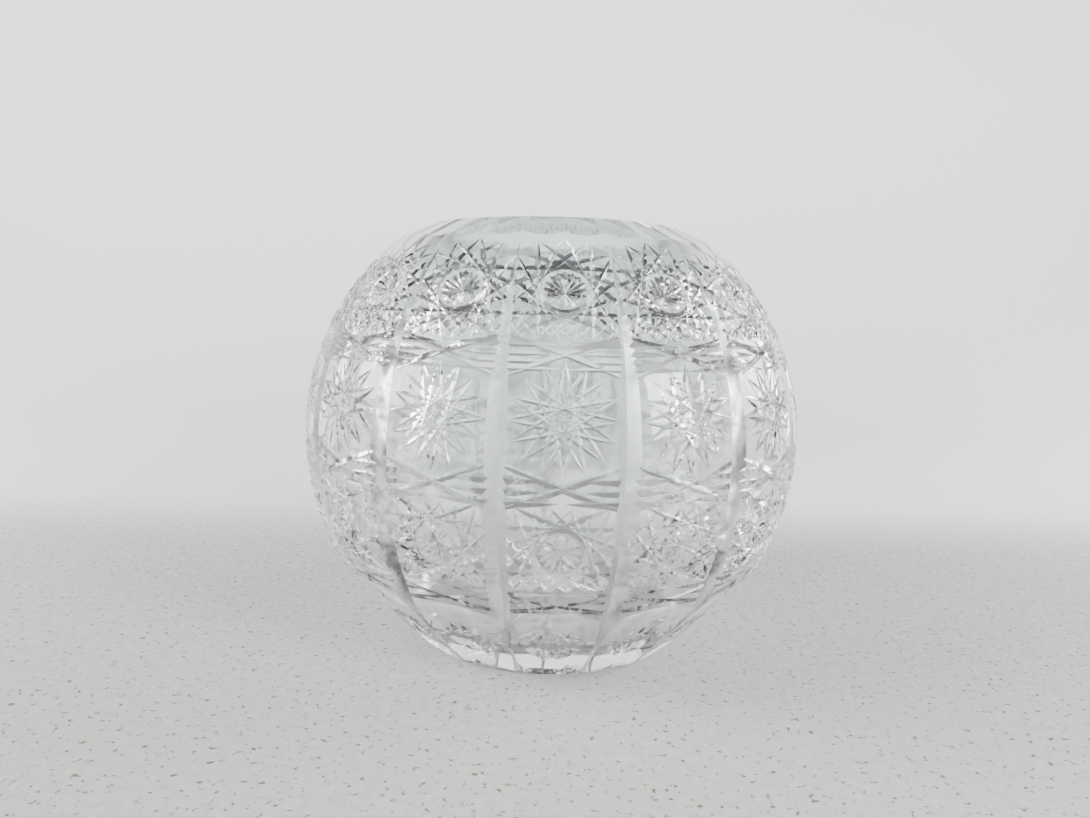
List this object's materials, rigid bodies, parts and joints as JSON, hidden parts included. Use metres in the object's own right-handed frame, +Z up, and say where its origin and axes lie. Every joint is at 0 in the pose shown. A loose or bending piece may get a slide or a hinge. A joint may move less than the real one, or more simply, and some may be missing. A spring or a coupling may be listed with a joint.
{
  "type": "cut crystal vase",
  "caption": "Globe-shaped clear cut crystal rose bowl on a flat ground foot, with a scalloped mouth for a low bunch of flowers.",
  "frame": {"origin": "centre of the flat foot, on the surface the vase rests on", "axes": "+Z up along the axis of the bowl; -Y is the front, where the middle of one cut panel faces"},
  "size_m": [0.2, 0.1999, 0.1665],
  "materials": {
    "crystal": "acid-polished clear lead crystal"
  },
  "bodies": {
    "root": {"crystal_bowl": "crystal"}
  },
  "joints": []
}
